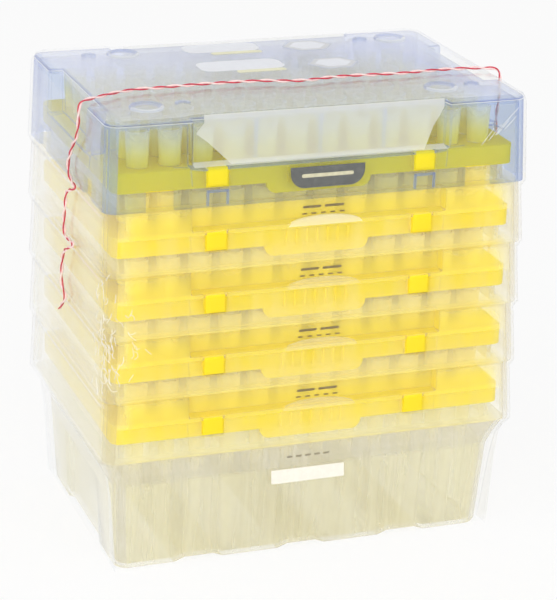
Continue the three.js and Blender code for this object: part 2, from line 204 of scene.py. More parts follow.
def soft_box(name, place, target, size, power):
    """A large lamp that lights the stack but isn't mirrored in it as a bright patch."""
    lamp = bpy.data.lights.new(name, "AREA")
    lamp.shape, lamp.size, lamp.size_y, lamp.energy = "RECTANGLE", *size, power
    holder = add_thing(name, lamp)
    holder.location = place
    holder.visible_glossy = False
    holder.rotation_euler = (Vector(target) - Vector(place)).to_track_quat("-Z", "Y").to_euler()


for name, box in SOFT_BOXES.items():
    soft_box(name, *box)
print("world at", AMBIENT, "with", len(SOFT_BOXES), "soft boxes")

# %% [markdown]
# The floor is a plain white sweep. Straight from the camera it glows white with a light share of its real
# shading mixed in, so the stack keeps a soft shadow under its feet while the ground stays clean.

# %% Floor
GLOW_SHARE, FLOOR_HALF = 0.85, 6
ground = finish("white_sweep")
lit = ground.node("BsdfDiffuse", {"Color": (0.94, 0.94, 0.94, 1)})
white = ground.node("Emission", {"Color": (1, 1, 1, 1), "Strength": 1})
sweep = ground.show(ground.mix(GLOW_SHARE * sees_white(ground, "Is Camera Ray", "Is Glossy Ray"), lit, white))


def to_mesh(name, form):
    """Turns a form into a mesh, and gives the form up."""
    mesh = bpy.data.meshes.new(name)
    form.to_mesh(mesh)
    form.free()
    return mesh


form = bmesh.new()
bmesh.ops.create_grid(form, x_segments=1, y_segments=1, size=FLOOR_HALF)
floor = add_thing("floor", to_mesh("floor", form))
floor.data.materials.append(sweep)
print("floor made")

# %% [markdown]
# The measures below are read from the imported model, in millimetres. The decks carry the racks, and
# each tray or lid is a hood that reaches from 10 mm below the deck it covers to the next shoulder. Points
# that lie nearer to each other than NEAR count as one place.

# %% Measures from the frame
LAYERS = 5
TIP_HEAD = 10.0
GAP, WALL, FLARE, CORNER = 0.3, 1.2, 0.9, 4.0
ARCH_RISE, LEDGE_RISE = 0.5, 1.2
SHOULDER_DROP, NECK_DROP = 10.0, 2.3
RACK_IN, NECK_IN = 2.3, 1.5
NEAR = 0.01


def span(node):
    low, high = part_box(node)
    return Vector(low) / MM, Vector(high) / MM


deck = {layer: span(f"tip_rack_{layer}")[1].z - TIP_HEAD for layer in range(1, LAYERS + 1)}
lid_high = span("lid")[1]
LID_TOP = lid_high.z - ARCH_RISE
hood_half = (lid_high.x - FLARE, lid_high.y - FLARE)
rack_half = (span("tip_rack_2")[1].x, hood_half[1] - RACK_IN)
neck_half = (rack_half[0] - NECK_IN, rack_half[1] - NECK_IN)
print("decks at", {layer: round(height, 2) for layer, height in deck.items()})
for name, half in (("hood", hood_half), ("rack", rack_half)):
    print("half a", name, [round(value, 2) for value in half])

# %% [markdown]
# Moulded shells start as a closed block whose upright edges are rounded. Planes cut its walls where a
# step, window or notch begins, and the cut faces are then pushed in or taken out. The sharp edges that
# are left get a weight, which the Bevel modifier turns into rounds of the right size after the Solidify
# modifier has given the wall its thickness.

# %% Form helpers
SHARP_TURN = math.radians(25)


def edges_along(verts, axis):
    """The edges at these vertices that run along an axis."""
    return [e for e in {e for v in verts for e in v.link_edges}
            if abs(e.verts[0].co[axis] - e.verts[1].co[axis]) > 1e-4]


def round_off(form, geom, offset, segments, affect="EDGES"):
    """Rounds edges or vertices."""
    bmesh.ops.bevel(form, geom=list(geom), offset=offset, offset_type="OFFSET", segments=segments,
                    profile=0.5, affect=affect, material=-1)


def block(form, low, high, corner=0.0, segments=8, along=2):
    """Adds a closed box to form, its edges along one axis rounded. Returns its vertices."""
    low, high = Vector(low), Vector(high)
    place = Matrix.Translation((low + high) / 2) @ Matrix.Diagonal((*(high - low), 1))
    made = bmesh.ops.create_cube(form, size=1, matrix=place)["verts"]
    if corner:
        others = set(form.verts) - set(made)
        round_off(form, edges_along(made, along), corner, segments)
        made = [v for v in form.verts if v not in others]
    return made


def front_and_back(form, low, high):
    """Adds a box at the back, and its twin at the front."""
    for side in (-1, 1):
        near, far = sorted((side * low[1], side * high[1]))
        block(form, (low[0], near, low[2]), (high[0], far, high[2]))


def cut(form, axis, places, faces=None):
    """Cuts faces, or all the upright walls, by planes square to an axis."""
    normal = Vector((axis == 0, axis == 1, axis == 2))
    for place in places:
        form.normal_update()
        walls = faces(form) if faces else [f for f in form.faces if abs(f.normal.z) < 0.5]
        geom = {*walls, *(e for f in walls for e in f.edges), *(v for f in walls for v in f.verts)}
        bmesh.ops.bisect_plane(form, geom=list(geom), dist=1e-4, plane_co=normal * place, plane_no=normal)


def draw_in(form, half, levels):
    """Moves a block's walls in. Each level is a height, and how far they move along each axis there."""
    for vert in form.verts:
        below, above = levels[0], levels[-1]
        for first, second in zip(levels, levels[1:]):
            if first[0] <= vert.co.z <= second[0]:
                below, above = first, second
        share = (vert.co.z - below[0]) / (above[0] - below[0])
        for axis in (0, 1):
            if abs(vert.co[axis]) > half[axis] - CORNER - 2 * GAP:
                inset = below[1][axis] + (above[1][axis] - below[1][axis]) * share
                vert.co[axis] -= math.copysign(1, vert.co[axis]) * inset


def both(*values):
    """These values on both sides of the middle."""
    return [sign * value for sign in (-1, 1) for value in values]


def new_verts(grown):
    """The vertices among what an operator has made."""
    return [g for g in grown["geom"] if isinstance(g, bmesh.types.BMVert)]


def outline(form, profile, place=(0, 0, 0), closed=False):
    """Adds a profile of radii and heights, ready to be turned. Returns its vertices and edges."""
    points = [form.verts.new(Vector(place) + Vector((radius, 0, z))) for radius, z in profile]
    ends = [*points[1:], points[0]] if closed else points[1:]
    return points + [form.edges.new(pair) for pair in zip(points, ends)]


def turn_round(form, profile, steps, place=(0, 0, 0), closed=False):
    """Turns a profile once round an upright axis."""
    bmesh.ops.spin(form, geom=outline(form, profile, place, closed), cent=place, axis=(0, 0, 1),
                   angle=2 * math.pi, steps=steps, use_merge=True)


def face_out(form):
    bmesh.ops.recalc_face_normals(form, faces=form.faces)


def weigh(form, weight, choose=lambda edge: True):
    """Marks the sharp edges that choose picks, for the Bevel modifier."""
    layers = form.edges.layers.float
    layer = layers.get("bevel_weight_edge") or layers.new("bevel_weight_edge")
    form.normal_update()
    for edge in form.edges:
        if len(edge.link_faces) == 2 and edge.calc_face_angle(0) > SHARP_TURN and choose(edge):
            edge[layer] = weight


def drop(form, faces):
    bmesh.ops.delete(form, geom=faces, context="FACES")


print("form helpers ready")

# %% [markdown]
# A form becomes a piece in one place: its millimetres turn into metres, its modifiers are worked into the
# mesh, smooth shading is kept off the edges that stay sharp, it is hung on the body it rides on and given its
# finish, and the imported solids it stands for are hidden.

# %% Piece helper
SQUARE, FLOOR_BAND = 0.985, 9


def is_round(normal, middle):
    """The faces that lie square to no axis, except near the floor, where the whole wall slants."""
    return max(abs(value) for value in normal) < SQUARE and middle.z > FLOOR_BAND


def make_piece(name, form, material, nodes=(), wall=0.0, bevel=0.0, segments=3, sharp=40, zones=()):
    """zones are further finishes, each with a test of a face's normal and middle."""
    bmesh.ops.scale(form, vec=(MM, MM, MM), verts=form.verts)
    piece = add_thing(name, to_mesh(name, form))
    if wall:
        shell = piece.modifiers.new("wall", "SOLIDIFY")
        shell.thickness, shell.offset, shell.use_even_offset = wall * MM, -1, True
    if bevel:
        rounding = piece.modifiers.new("rounding", "BEVEL")
        rounding.width, rounding.segments, rounding.limit_method = bevel * MM, segments, "WEIGHT"
    if piece.modifiers:
        bpy.context.view_layer.update()
        ready = piece.evaluated_get(bpy.context.evaluated_depsgraph_get())
        finished = bpy.data.meshes.new_from_object(ready)
        piece.modifiers.clear()
        piece.data = finished
    piece.data.shade_smooth()
    piece.data.set_sharp_from_angle(angle=math.radians(sharp))
    piece.data.materials.clear()
    piece.data.materials.append(material)
    for place, (other, chosen) in enumerate(zones, 1):
        piece.data.materials.append(other)
        for face in piece.data.polygons:
            if chosen(face.normal, face.center / MM):
                face.material_index = place
    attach(piece, "root")
    if nodes:
        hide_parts(*nodes)
    print(name, len(piece.data.polygons), "faces")
    return piece


# %% [markdown]
# Clear plastic is shown by what passes through it, what it mirrors and how milky it is. A wall seen
# edge-on is longer to look through, so its milkiness and tint grow with the angle as they do in a real
# slab, and it mirrors more, by Schlick's rule. Straight-through shaders keep the nested walls free of noise.

# %% Clear plastic
PAINTED_GLOW_ENDS, PAINTED_GLOW_RISE = (52, 60), (0.15, 0.9)
EDGE_ON = 1.04


def hazy(plastic, colour, through=0.5):
    """Haze throws part of the light back, and lets the share called through pass."""
    return plastic.mix(
        through,
        plastic.node("BsdfDiffuse", {"Color": (*colour, 1)}),
        plastic.node("BsdfTranslucent", {"Color": (*colour, 1)}),
    )


def streaked(plastic, milk, amount, size):
    """Milk that varies by this amount, in a pattern of this size."""
    spot = plastic.node("Mapping", {
        "Vector": plastic.node("TexCoord", output="Object"),
        "Scale": [1 / (MM * part) for part in size],
    })
    return milk * (1 + amount * (2 * plastic.ramp(plastic.noise(1, 3, spot), 0.3, 0.7) - 1))


def among_racks(plastic, low, high):
    """Two masks for the painted glow: 1 among the racks, between these heights, and the same where it is 1
    only over each deck.
    """
    spot = plastic.node("TexCoord", output="Object")
    along, height = (plastic.node("SeparateXYZ", {0: spot}, axis) for axis in "XZ")
    above, below = (plastic.ramp(height, *(value * MM for value in ends)) for ends in (low, high))
    among = above * (1 - below) * (1 - plastic.ramp(abs(along), *(value * MM for value in PAINTED_GLOW_ENDS)))
    step = (deck[1] - deck[LAYERS]) / (LAYERS - 1) * MM
    over_deck = ((height - deck[LAYERS] * MM) / step).fraction()
    return among, among * (1 - plastic.ramp(over_deck, *PAINTED_GLOW_RISE))


def see_through(name, tint, deep, milk, cloud, gloss=0.08, shine=0.02, turn=(0.6, 1.0), through=0.5,
                streaks=None, painted_glow=None):
    """tint and deep are what one face passes, head-on and edge-on, and turn is where one gives way to the
    other. milk is its head-on haze, and cloud the haze's colour. streaks is how much the haze varies, and the
    pattern's size in mm. The glow among the racks is painted light, and its argument gives the glow's colour,
    the heights where it sets in and fades, and how much milkier the haze is just over each deck."""
    plastic = finish(name)
    facing = plastic.node("LayerWeight", {"Blend": 0.5}, "Facing")
    mirror = shine + (1 - shine) * facing ** 5
    if streaks:
        milk = streaked(plastic, milk, *streaks)
    body = hazy(plastic, cloud, through)
    # Painted light: the yellow glow among the racks is mixed into the haze's colour and milk.
    if painted_glow:
        colour, low, high, glow = painted_glow
        among, near = among_racks(plastic, low, high)
        body = plastic.mix(0.35 * among + 0.65 * near, body, hazy(plastic, colour, through))
        milk = milk + glow * near
    haze = 1 - (1 - milk) ** (1 / (EDGE_ON - facing))
    passing = plastic.mix(plastic.ramp(facing, *turn), *(
        plastic.node("BsdfTransparent", {"Color": (*colour, 1)}) for colour in (tint, deep)
    ))
    surface = plastic.node("BsdfAnisotropic", {"Color": (1, 1, 1, 1), "Roughness": gloss})
    return plastic.show(plastic.mix(mirror, plastic.mix(haze, passing, body), surface))


print("clear plastic ready")

# %% [markdown]
# The lid is clear with a pale blue tint. Its tint gathers in the rounds, where there is most plastic to look
# through, so the rounds are a finish of their own. The dark line round the top is painted shade and the glint
# under that line is a painted highlight, each a finish of its own too. In a real slab all this comes from one
# refraction, but dozens of nested walls would be slow and noisy.

# %% The lid's plastics
lid_plastic = see_through(
    "blue_clear_plastic", (0.865, 0.90, 0.965), (0.46, 0.52, 0.86), 0.03, (0.82, 0.88, 1.0), gloss=0.2
)
lid_round_plastic = see_through(
    "blue_clear_rounds", (0.74, 0.80, 0.95), (0.20, 0.27, 0.66), 0.20, (0.66, 0.76, 1.0), turn=(0.3, 0.8)
)
# Painted shade: a deep blue finish for the dark line along the rounding of the top.
lid_painted_shade_plastic = see_through(
    "blue_clear_painted_edge_shade", (0.42, 0.47, 0.78), (0.22, 0.29, 0.68), 0.15, (0.45, 0.52, 0.85)
)
# Painted highlight: a milky white finish for the glint under that line, on the ledge and on the dishes' near
# sides.
lid_painted_highlight_plastic = see_through(
    "blue_clear_painted_highlight", (0.95, 0.97, 1.0), (0.70, 0.76, 0.95), 0.45, (0.95, 0.97, 1.0)
)
print("lid plastics ready")

# %% [markdown]
# The trays, the tips and the base are natural plastic, so they are a little milky, in upright streaks where
# the melt has flowed. Among the racks their haze is lit through the yellow plastic next to it. That glow is
# painted light: a yellow colour written into the haze itself, milkier just over each deck, because rays would
# need too many steps to find it.

# %% Milky plastics
tray_plastic = see_through(
    "milky_clear_plastic", (1, 1, 1), (1, 1, 1), 0.05, (1, 0.99, 0.84), gloss=0.2,
    through=0.1, streaks=(0.8, (6, 40, 60)), painted_glow=((1.0, 0.86, 0.12), (26, 44), (118, 124), 0.34),
)
base_plastic = see_through(
    "milky_base_plastic", (0.98, 0.975, 0.93), (0.90, 0.88, 0.79), 0.22, (0.98, 0.955, 0.79), gloss=0.2,
    streaks=(0.3, (5, 40, 80)),
)
# The milkier rounds of the trays and the base are a painted highlight along their edges.
tray_round_painted_highlight = see_through(
    "milky_clear_rounds_painted_highlight", (0.95, 0.94, 0.90), (0.85, 0.83, 0.78), 0.15, (0.97, 0.96, 0.92), gloss=0.2
)
pad_plastic = see_through(
    "pad_plastic", (0.99, 0.985, 0.95), (0.95, 0.94, 0.88), 0.22, (0.98, 0.96, 0.80), gloss=0.15
)
# The top tray's pads are much milkier: a painted highlight.
top_pad_painted_highlight = see_through(
    "top_pad_painted_highlight", (0.99, 0.985, 0.95), (0.95, 0.94, 0.88), 0.60, (0.98, 0.96, 0.80), gloss=0.15
)
tip_plastic = see_through(
    "natural_tip_plastic", (1, 1, 1), (1, 1, 1), 0.10, (1, 1, 0.88), gloss=0.25,
    through=0.1, painted_glow=((1.0, 0.90, 0.08), (26, 44), (118, 132), 0.6),
)
print("milky plastics ready")

# %% [markdown]
# Shrink film is almost invisible head-on and mirrors at a slant. Where it lies drawn flat over the lid's
# recess, a milky pale sheet is its painted reflection of the light, and a crease shows as a white line, which
# is partly whitened film and partly a painted glint.

# %% Film plastics
film_plastic = see_through(
    "shrink_film", (1, 1, 1), (0.97, 0.98, 1), 0.015, (0.97, 0.97, 0.97), gloss=0.2, shine=0.025
)
# Painted reflection: the film's glare on the flat sheet is a milky pale finish.
film_painted_glare = see_through(
    "shrink_film_painted_glare", (1, 1, 1), (0.97, 0.98, 1), 0.50, (1, 1, 0.97), gloss=0.2, shine=0.03
)
# A crease's white is partly whitened film and partly a painted glint.
film_crease_and_glint = see_through(
    "shrink_film_crease_and_painted_glint", (1, 1, 1), (0.97, 0.98, 1), 0.45, (1, 1, 1), gloss=0.2, shine=0.08
)
print("film plastics ready")

# %% [markdown]
# The racks are evenly coloured moulded plastic with a satin surface. Their walls are thin, so some light
# comes through and glows yellow between the tips. A fine noise varies the roughness, and a very low bump
# keeps the faces from looking like glass.

# %% Rack plastic
yellow = finish("rack_plastic")
grain = yellow.noise(900)
cloudy = yellow.noise(40, 2)
shell = yellow.node("BsdfPrincipled", {
    "Base Color": yellow.colours(cloudy, (1.0, 0.86, 0.005, 1), (1.0, 0.89, 0.008, 1)),
    "Roughness": 0.34 + 0.1 * grain,
    "Specular IOR Level": 0.15,
    "Normal": yellow.node("Bump", {"Strength": 0.15, "Distance": 0.0001, "Height": grain}),
})
through = yellow.node("BsdfTranslucent", {"Color": (1.0, 0.94, 0.025, 1)})
rack_plastic = yellow.show(yellow.mix(0.5, shell, through))
print("rack plastic ready")

# %% [markdown]
# The lid and the four upper trays are the same kind of moulding: a hood that leans out to its foot, whose
# front and back step in above a ledge, with windows for the clips of the rack inside. One function makes
# that hood, and the lid and the trays then add what is their own.

# %% The hood
RECESS = (36.5, 2.7)  # half its length, and its depth
CLIP_AT, CLIP_HALF, WINDOW_HALF, WINDOW_DROP = 29.9, 2.8, 3.4, 4.9
LIP = 0.4


def hood(form, bottom, top, under):
    """The outer skin of a hood over the deck at height under, open at the bottom."""
    half_x, half_y = hood_half
    ledge = under + LEDGE_RISE
    block(form, (-half_x, -half_y, bottom), (half_x, half_y, top), CORNER)
    cut(form, 0, both(RECESS[0], RECESS[0] + LIP))
    sides = [CLIP_AT + reach for reach in (-WINDOW_HALF, -CLIP_HALF, CLIP_HALF, WINDOW_HALF)]
    cut(form, 0, both(*sides), lambda f: front_walls(f, ledge))
    cut(form, 2, (ledge, ledge + LIP))
    cut(form, 2, (under - WINDOW_DROP, under - WINDOW_DROP - LIP), lambda f: front_walls(f, ledge))
    for vert in form.verts:
        lean = FLARE * (top - vert.co.z) / (top - bottom)
        vert.co.x += math.copysign(lean, vert.co.x) if abs(vert.co.x) > half_x - CORNER - 0.1 else 0
        vert.co.y += math.copysign(lean, vert.co.y)
    return ledge


def front_walls(form, below=1e9):
    """The front and back faces of a hood that reach below a height."""
    return [f for f in form.faces if abs(f.normal.y) > 0.9 and min(v.co.z for v in f.verts) < below - 0.1]


def end_walls(form):
    """The faces of a form's two ends."""
    return [f for f in form.faces if abs(f.normal.x) > 0.9]


def step_in(form, axis, recess, above):
    """Pushes the middle of the two walls square to an axis in, to a plane, above a height."""
    length, depth = recess
    half = hood_half[axis]
    for vert in form.verts:
        inside = abs(vert.co[1 - axis]) < length + NEAR and vert.co.z > above - NEAR
        if inside and abs(vert.co[axis]) > half - 1.5:
            vert.co[axis] = math.copysign(half - depth, vert.co[axis])


def windows(form, under):
    """Opens the clip windows over the deck at height under."""
    def inside(face):
        middle = face.calc_center_median()
        high_enough = under - WINDOW_DROP < middle.z < under + LEDGE_RISE
        return high_enough and abs(abs(middle.x) - CLIP_AT) < WINDOW_HALF - NEAR and abs(face.normal.y) > 0.5
    drop(form, [face for face in form.faces if inside(face)])


print("hood ready")

# %% [markdown]
# The lid's ends also step in, its lower edge has notches beside long aprons, and its top carries shallow
# round dishes and small arched marks.

# %% Lid
SIDE_RECESS = (20.0, 4.0)
APRON = (42.0, 20.0)  # half its length on a long side and on an end
NOTCH = (8.0, 5.7)  # its length and its height
TOP_ROUND = 2.5

form = bmesh.new()
low = deck[1] - SHOULDER_DROP
ledge = hood(form, low, LID_TOP, deck[1])
cut(form, 1, both(SIDE_RECESS[0], SIDE_RECESS[0] + LIP), end_walls)
cut(form, 0, both(APRON[0], APRON[0] + NOTCH[0]), front_walls)
cut(form, 1, both(APRON[1], APRON[1] + NOTCH[0]), end_walls)
cut(form, 2, (low + NOTCH[1],))
step_in(form, 1, RECESS, ledge + LIP)
step_in(form, 0, SIDE_RECESS, ledge + LIP)
windows(form, deck[1])


def in_notch(face):
    middle = face.calc_center_median()
    if middle.z > low + NOTCH[1]:
        return False
    if abs(face.normal.y) > 0.9:
        return APRON[0] < abs(middle.x) < APRON[0] + NOTCH[0]
    return abs(face.normal.x) > 0.9 and APRON[1] < abs(middle.y) < APRON[1] + NOTCH[0]


drop(form, [f for f in form.faces if in_notch(f) or f.normal.z < -0.9])
weigh(form, 0.3)
weigh(form, 1.0, lambda e: all(v.co.z > LID_TOP - NEAR for v in e.verts))


def painted_line_faces(normal, middle):
    """The middle of the rounding between the lid's top and its front, where the dark line is painted as
    shade.
    """
    return middle.z > LID_TOP - TOP_ROUND and 0.42 < normal.z < 0.72


def glint(normal, middle):
    """The strip under that line, and the ledge at the foot of the recess, which take a painted highlight."""
    under_top = middle.z > LID_TOP - TOP_ROUND and 0.12 < normal.z < 0.42
    on_ledge = abs(middle.z - ledge - LIP) < 0.7 and abs(middle.x) < RECESS[0] and normal.z > 0.3
    return under_top or on_ledge


make_piece(
    "lid_shell", form, lid_plastic, ["lid"], wall=WALL, bevel=1.5, segments=4,
    zones=[(lid_round_plastic, is_round), (lid_painted_shade_plastic, painted_line_faces), (lid_painted_highlight_plastic, glint)],
)

# %% [markdown]
# A tray is a hood with a flat shoulder and an upright neck on which the rack sits. The shoulder is the
# flat face between two loops of edges, so it is filled between them.

# %% Trays
NECK_CORNER = 2.8


def neck(form, foot, top):
    """Adds the neck's wall and fills the shoulder between it and the hood."""
    half_x, half_y = neck_half
    made = set(block(form, (-half_x, -half_y, foot), (half_x, half_y, top), NECK_CORNER, 6))
    form.normal_update()
    drop(form, [f for f in form.faces if abs(f.normal.z) > 0.9 and made.issuperset(f.verts)])
    rim = [e for e in form.edges if e.is_boundary and all(abs(v.co.z - foot) < NEAR for v in e.verts)]
    bmesh.ops.triangle_fill(form, use_beauty=True, use_dissolve=True, edges=rim, normal=(0, 0, 1))


PAD_MIDDLE, PAD_OUT = 1.35, 0.45
PAD_HALF, PAD_LOW, PAD_HIGH, PAD_DEPTH = 10.75, 0.3, 2.9, 1.3


def push_pads(layer, under):
    """The half-moon pads on a tray's front and back, where a thumb presses."""
    form = bmesh.new()
    foot = under + PAD_LOW
    shape = Matrix.Rotation(math.pi / 2, 4, "X") @ Matrix.Diagonal((PAD_HALF, PAD_HIGH - PAD_LOW, 1, 1))
    for side in (-1, 1):
        place = Matrix.Translation((PAD_MIDDLE, side * (hood_half[1] + PAD_OUT), foot)) @ shape
        disc = bmesh.ops.create_circle(form, cap_ends=True, radius=1, segments=32, matrix=place)["verts"]
        geom = {*disc, *(e for v in disc for e in v.link_edges), *(f for v in disc for f in v.link_faces)}
        bmesh.ops.bisect_plane(
            form, geom=list(geom), plane_co=(0, 0, foot), plane_no=(0, 0, -1), clear_outer=True
        )
    face_out(form)
    for side in (-1, 1):
        faces = [f for f in form.faces if f.calc_center_median().y * side > 0]
        grown = bmesh.ops.extrude_face_region(form, geom=faces)
        bmesh.ops.translate(form, vec=(0, -side * PAD_DEPTH, 0), verts=new_verts(grown))
    face_out(form)
    weigh(form, 1.0)
    # The top tray's pads take the painted highlight.
    clear = top_pad_painted_highlight if layer == 1 else pad_plastic
    make_piece(f"tray_{layer}_pads", form, clear, bevel=0.3)


for layer in range(1, LAYERS):
    form = bmesh.new()
    top, under = deck[layer] - SHOULDER_DROP - GAP, deck[layer + 1]
    ledge = hood(form, under - SHOULDER_DROP, top, under)
    step_in(form, 1, RECESS, ledge + LIP)
    windows(form, under)
    form.normal_update()
    drop(form, [f for f in form.faces if abs(f.normal.z) > 0.9 and len(f.verts) > 12])
    neck(form, top, deck[layer] - NECK_DROP)
    face_out(form)
    weigh(form, 0.4)
    weigh(form, 1.0, lambda e: all(abs(v.co.z - top) < NEAR for v in e.verts))
    push_pads(layer, under)
    make_piece(
        f"tray_{layer}_shell", form, tray_plastic, [f"tray_{layer}"], wall=WALL, bevel=0.8,
        zones=[(tray_round_painted_highlight, is_round)],
    )

# %% [markdown]
# The lowest tray is the base. It is deep, because the lowest tips hang free in it, and it draws in twice
# under its shoulder. Three channels run under its floor, and its ends step in below the waist.

# %% Base
BASE_SHOULDER = deck[LAYERS] - SHOULDER_DROP - GAP
FUNNEL_AT, WAIST_AT = BASE_SHOULDER - 5, BASE_SHOULDER - 9
FOOT_ROUND = 1.5
FUNNEL, WAIST, FOOT = (2.1, 2.1), (3.5, 3.5), (4.5, 6.3)
CHANNELS, CHANNEL_TOP, CHANNEL_FOOT, CHANNEL_RISE = (-31.03, 0.0, 31.03), 4.25, 7.25, 1.3
BASE_RECESS = (17.0, 22.0, 53.8)  # half its length, its height, and where its wall stands
ROUND_START = 0.3 * FOOT_ROUND
base_levels = [
    (0.0, (FOOT[0] + FOOT_ROUND, FOOT[1] + FOOT_ROUND)),
    (ROUND_START, (FOOT[0] + ROUND_START, FOOT[1] + ROUND_START)),
    (FOOT_ROUND, FOOT),
    (WAIST_AT, WAIST),
    (FUNNEL_AT, FUNNEL),
    (BASE_SHOULDER, (0.0, 0.0)),
]


def foot_walls(form):
    """The faces below the end recess that channels are cut in."""
    return [w for w in form.faces if w.calc_center_median().z < BASE_RECESS[1] and abs(w.normal.x) < 0.1]


form = bmesh.new()
block(form, (-hood_half[0], -hood_half[1], 0), (hood_half[0], hood_half[1], BASE_SHOULDER), CORNER)
cut(form, 2, [height for height, _ in base_levels[1:-1]] + [BASE_RECESS[1], BASE_RECESS[1] + LIP])
cut(form, 1, both(BASE_RECESS[0], BASE_RECESS[0] + LIP), end_walls)
reaches = both(CHANNEL_TOP, CHANNEL_FOOT)
cut(form, 0, [middle + reach for middle in CHANNELS for reach in reaches], foot_walls)
draw_in(form, hood_half, base_levels)
for vert in form.verts:
    in_recess = abs(vert.co.y) < BASE_RECESS[0] + NEAR and vert.co.z < BASE_RECESS[1] + NEAR
    if in_recess and abs(vert.co.x) > 50:
        vert.co.x = math.copysign(BASE_RECESS[2], vert.co.x)
    in_channel = any(abs(vert.co.x - middle) < CHANNEL_TOP + NEAR for middle in CHANNELS)
    if in_channel and vert.co.z < FOOT_ROUND + 0.1:
        vert.co.z += CHANNEL_RISE * (1 - vert.co.z / (2 * FOOT_ROUND))
form.normal_update()
top_face = [f for f in form.faces if f.normal.z > 0.9 and f.calc_center_median().z > BASE_SHOULDER - NEAR]
drop(form, top_face)
neck(form, BASE_SHOULDER, deck[LAYERS] - NECK_DROP)
face_out(form)
weigh(form, 0.5)
make_piece(
    "base_shell", form, base_plastic, ["base_tray"], wall=WALL, bevel=1.0,
    zones=[(tray_round_painted_highlight, is_round)],
)

# %% [markdown]
# A rack is one moulding: a deck with 96 holes on the 9 mm grid, a skirt round it, a rounded tongue in the
# middle of each long side and four clips that snap into the hood's windows. The deck starts as a grid with
# one face per tip. Each face is inset, its corners are cut twice to make a round hole, and it is taken out.

# %% Racks
COLUMNS, ROWS, PITCH = 12, 8, 9.0
HOLE_INSET, HOLE_CORNER = 1.35, 1.85
SKIRT, TONGUE_HALF, TONGUE_DROP, TONGUE_ROUND = 5.5, 15.0, 3.0, 2.6
grid_half = (COLUMNS * PITCH / 2, ROWS * PITCH / 2)


def deck_plate(form, height):
    place = Matrix.Translation((0, 0, height)) @ Matrix.Diagonal((*grid_half, 1, 1))
    made = bmesh.ops.create_grid(form, x_segments=COLUMNS, y_segments=ROWS, size=1, matrix=place)["verts"]
    cells = list({f for v in made for f in v.link_faces})
    bmesh.ops.inset_individual(form, faces=cells, thickness=HOLE_INSET, use_even_offset=True)
    round_off(form, {v for f in cells for v in f.verts}, HOLE_CORNER, 1, "VERTICES")
    form.normal_update()
    drop(form, [f for f in form.faces if len(f.verts) == 8])


def outermost(vert):
    """The axes along which a vertex lies on the grid's rim."""
    return [axis for axis in (0, 1) if abs(vert.co[axis]) > grid_half[axis] - 0.1]


def grow(form, edges, down=0.0):
    """Extrudes edges downwards."""
    grown = bmesh.ops.extrude_edge_only(form, edges=edges)
    bmesh.ops.translate(form, vec=(0, 0, -down), verts=new_verts(grown))
    return grown


for layer, height in deck.items():
    form = bmesh.new()
    deck_plate(form, height)
    rim = grow(form, [e for e in form.edges if e.is_boundary and all(outermost(v) for v in e.verts)])
    for vert in new_verts(rim):
        for axis in outermost(vert):
            vert.co[axis] = math.copysign(rack_half[axis], vert.co[axis])
    grow(form, [g for g in rim["geom"] if isinstance(g, bmesh.types.BMEdge)], SKIRT)
    cut(form, 0, both(TONGUE_HALF), front_walls)
    foot = height - SKIRT
    grow(form, [e for e in form.edges if e.is_boundary and all(
        abs(v.co.z - foot) < NEAR and abs(v.co.x) < TONGUE_HALF + NEAR for v in e.verts
    )], TONGUE_DROP)
    ends = [v for v in form.verts if abs(abs(v.co.x) - TONGUE_HALF) < NEAR and v.co.z < foot - 1]
    round_off(form, ends, TONGUE_ROUND, 4, "VERTICES")
    corners = [v for v in form.verts if all(abs(v.co[axis]) > rack_half[axis] - NEAR for axis in (0, 1))]
    round_off(form, edges_along(corners, 2), NECK_CORNER, 6)
    face_out(form)
    weigh(form, 1.0)
    make_piece(
        f"rack_{layer}", form, rack_plastic, [f"tip_rack_{layer}"],
        wall=WALL, bevel=0.35, segments=2,
    )

# %% [markdown]
# Each rack has four clips that fill the hood's windows, and fine upright ribs on its tongues for grip.
# They belong to the rack's moulding, but small rounded blocks set into its wall show the same outside.

# %% Clips and tongue ribs
RIB_PITCH, RIB_HALF = 3, 0.35

for layer, height in deck.items():
    form = bmesh.new()
    for middle in both(CLIP_AT):
        front_and_back(form, (middle - CLIP_HALF, rack_half[1] - 0.6, height - 4.3),
                       (middle + CLIP_HALF, hood_half[1] + 0.35, height + 0.75))
    for x in (RIB_PITCH * place for place in range(-3, 4)):
        front_and_back(form, (x - RIB_HALF, rack_half[1] - 0.2, height - 5.6),
                       (x + RIB_HALF, rack_half[1] + 0.35, height - 1.2))
    weigh(form, 1.0)
    make_piece(f"rack_{layer}_clips", form, rack_plastic, bevel=0.25)

# %% [markdown]
# There are 480 tips, so each has only a few dozen faces. A tip is a profile turned once round its axis: a
# short bore, a flat rim, the head down to the deck and the long shank. The tips of a rack are one piece.

# %% Tips
TIP_LENGTH = 51.0
TIP_PROFILE = [
    (2.75, 3.0), (2.95, TIP_HEAD), (3.5, TIP_HEAD), (3.42, 8.6), (3.05, 0.0), (0.35, TIP_HEAD - TIP_LENGTH)
]

form = bmesh.new()
turn_round(form, TIP_PROFILE, 10)
face_out(form)
one_tip = to_mesh("one_tip", form)
print("one tip has", len(one_tip.polygons), "faces")

for layer, height in deck.items():
    form = bmesh.new()
    for column in range(COLUMNS):
        for row in range(ROWS):
            start = len(form.verts)
            form.from_mesh(one_tip)
            form.verts.ensure_lookup_table()
            place = ((column - (COLUMNS - 1) / 2) * PITCH, (row - (ROWS - 1) / 2) * PITCH, height)
            bmesh.ops.translate(form, vec=place, verts=form.verts[start:])
    make_piece(f"tips_{layer}", form, tip_plastic, sharp=60)

# %% [markdown]
# Shrink film is one thin skin drawn round the whole stack. It steps in and out with the hoods, bridges the
# lid's front recess as a slanted flat sheet held by the two clips, and twists beside it. It is made like the
# hoods, from a block cut by the same planes, so it follows them closely.

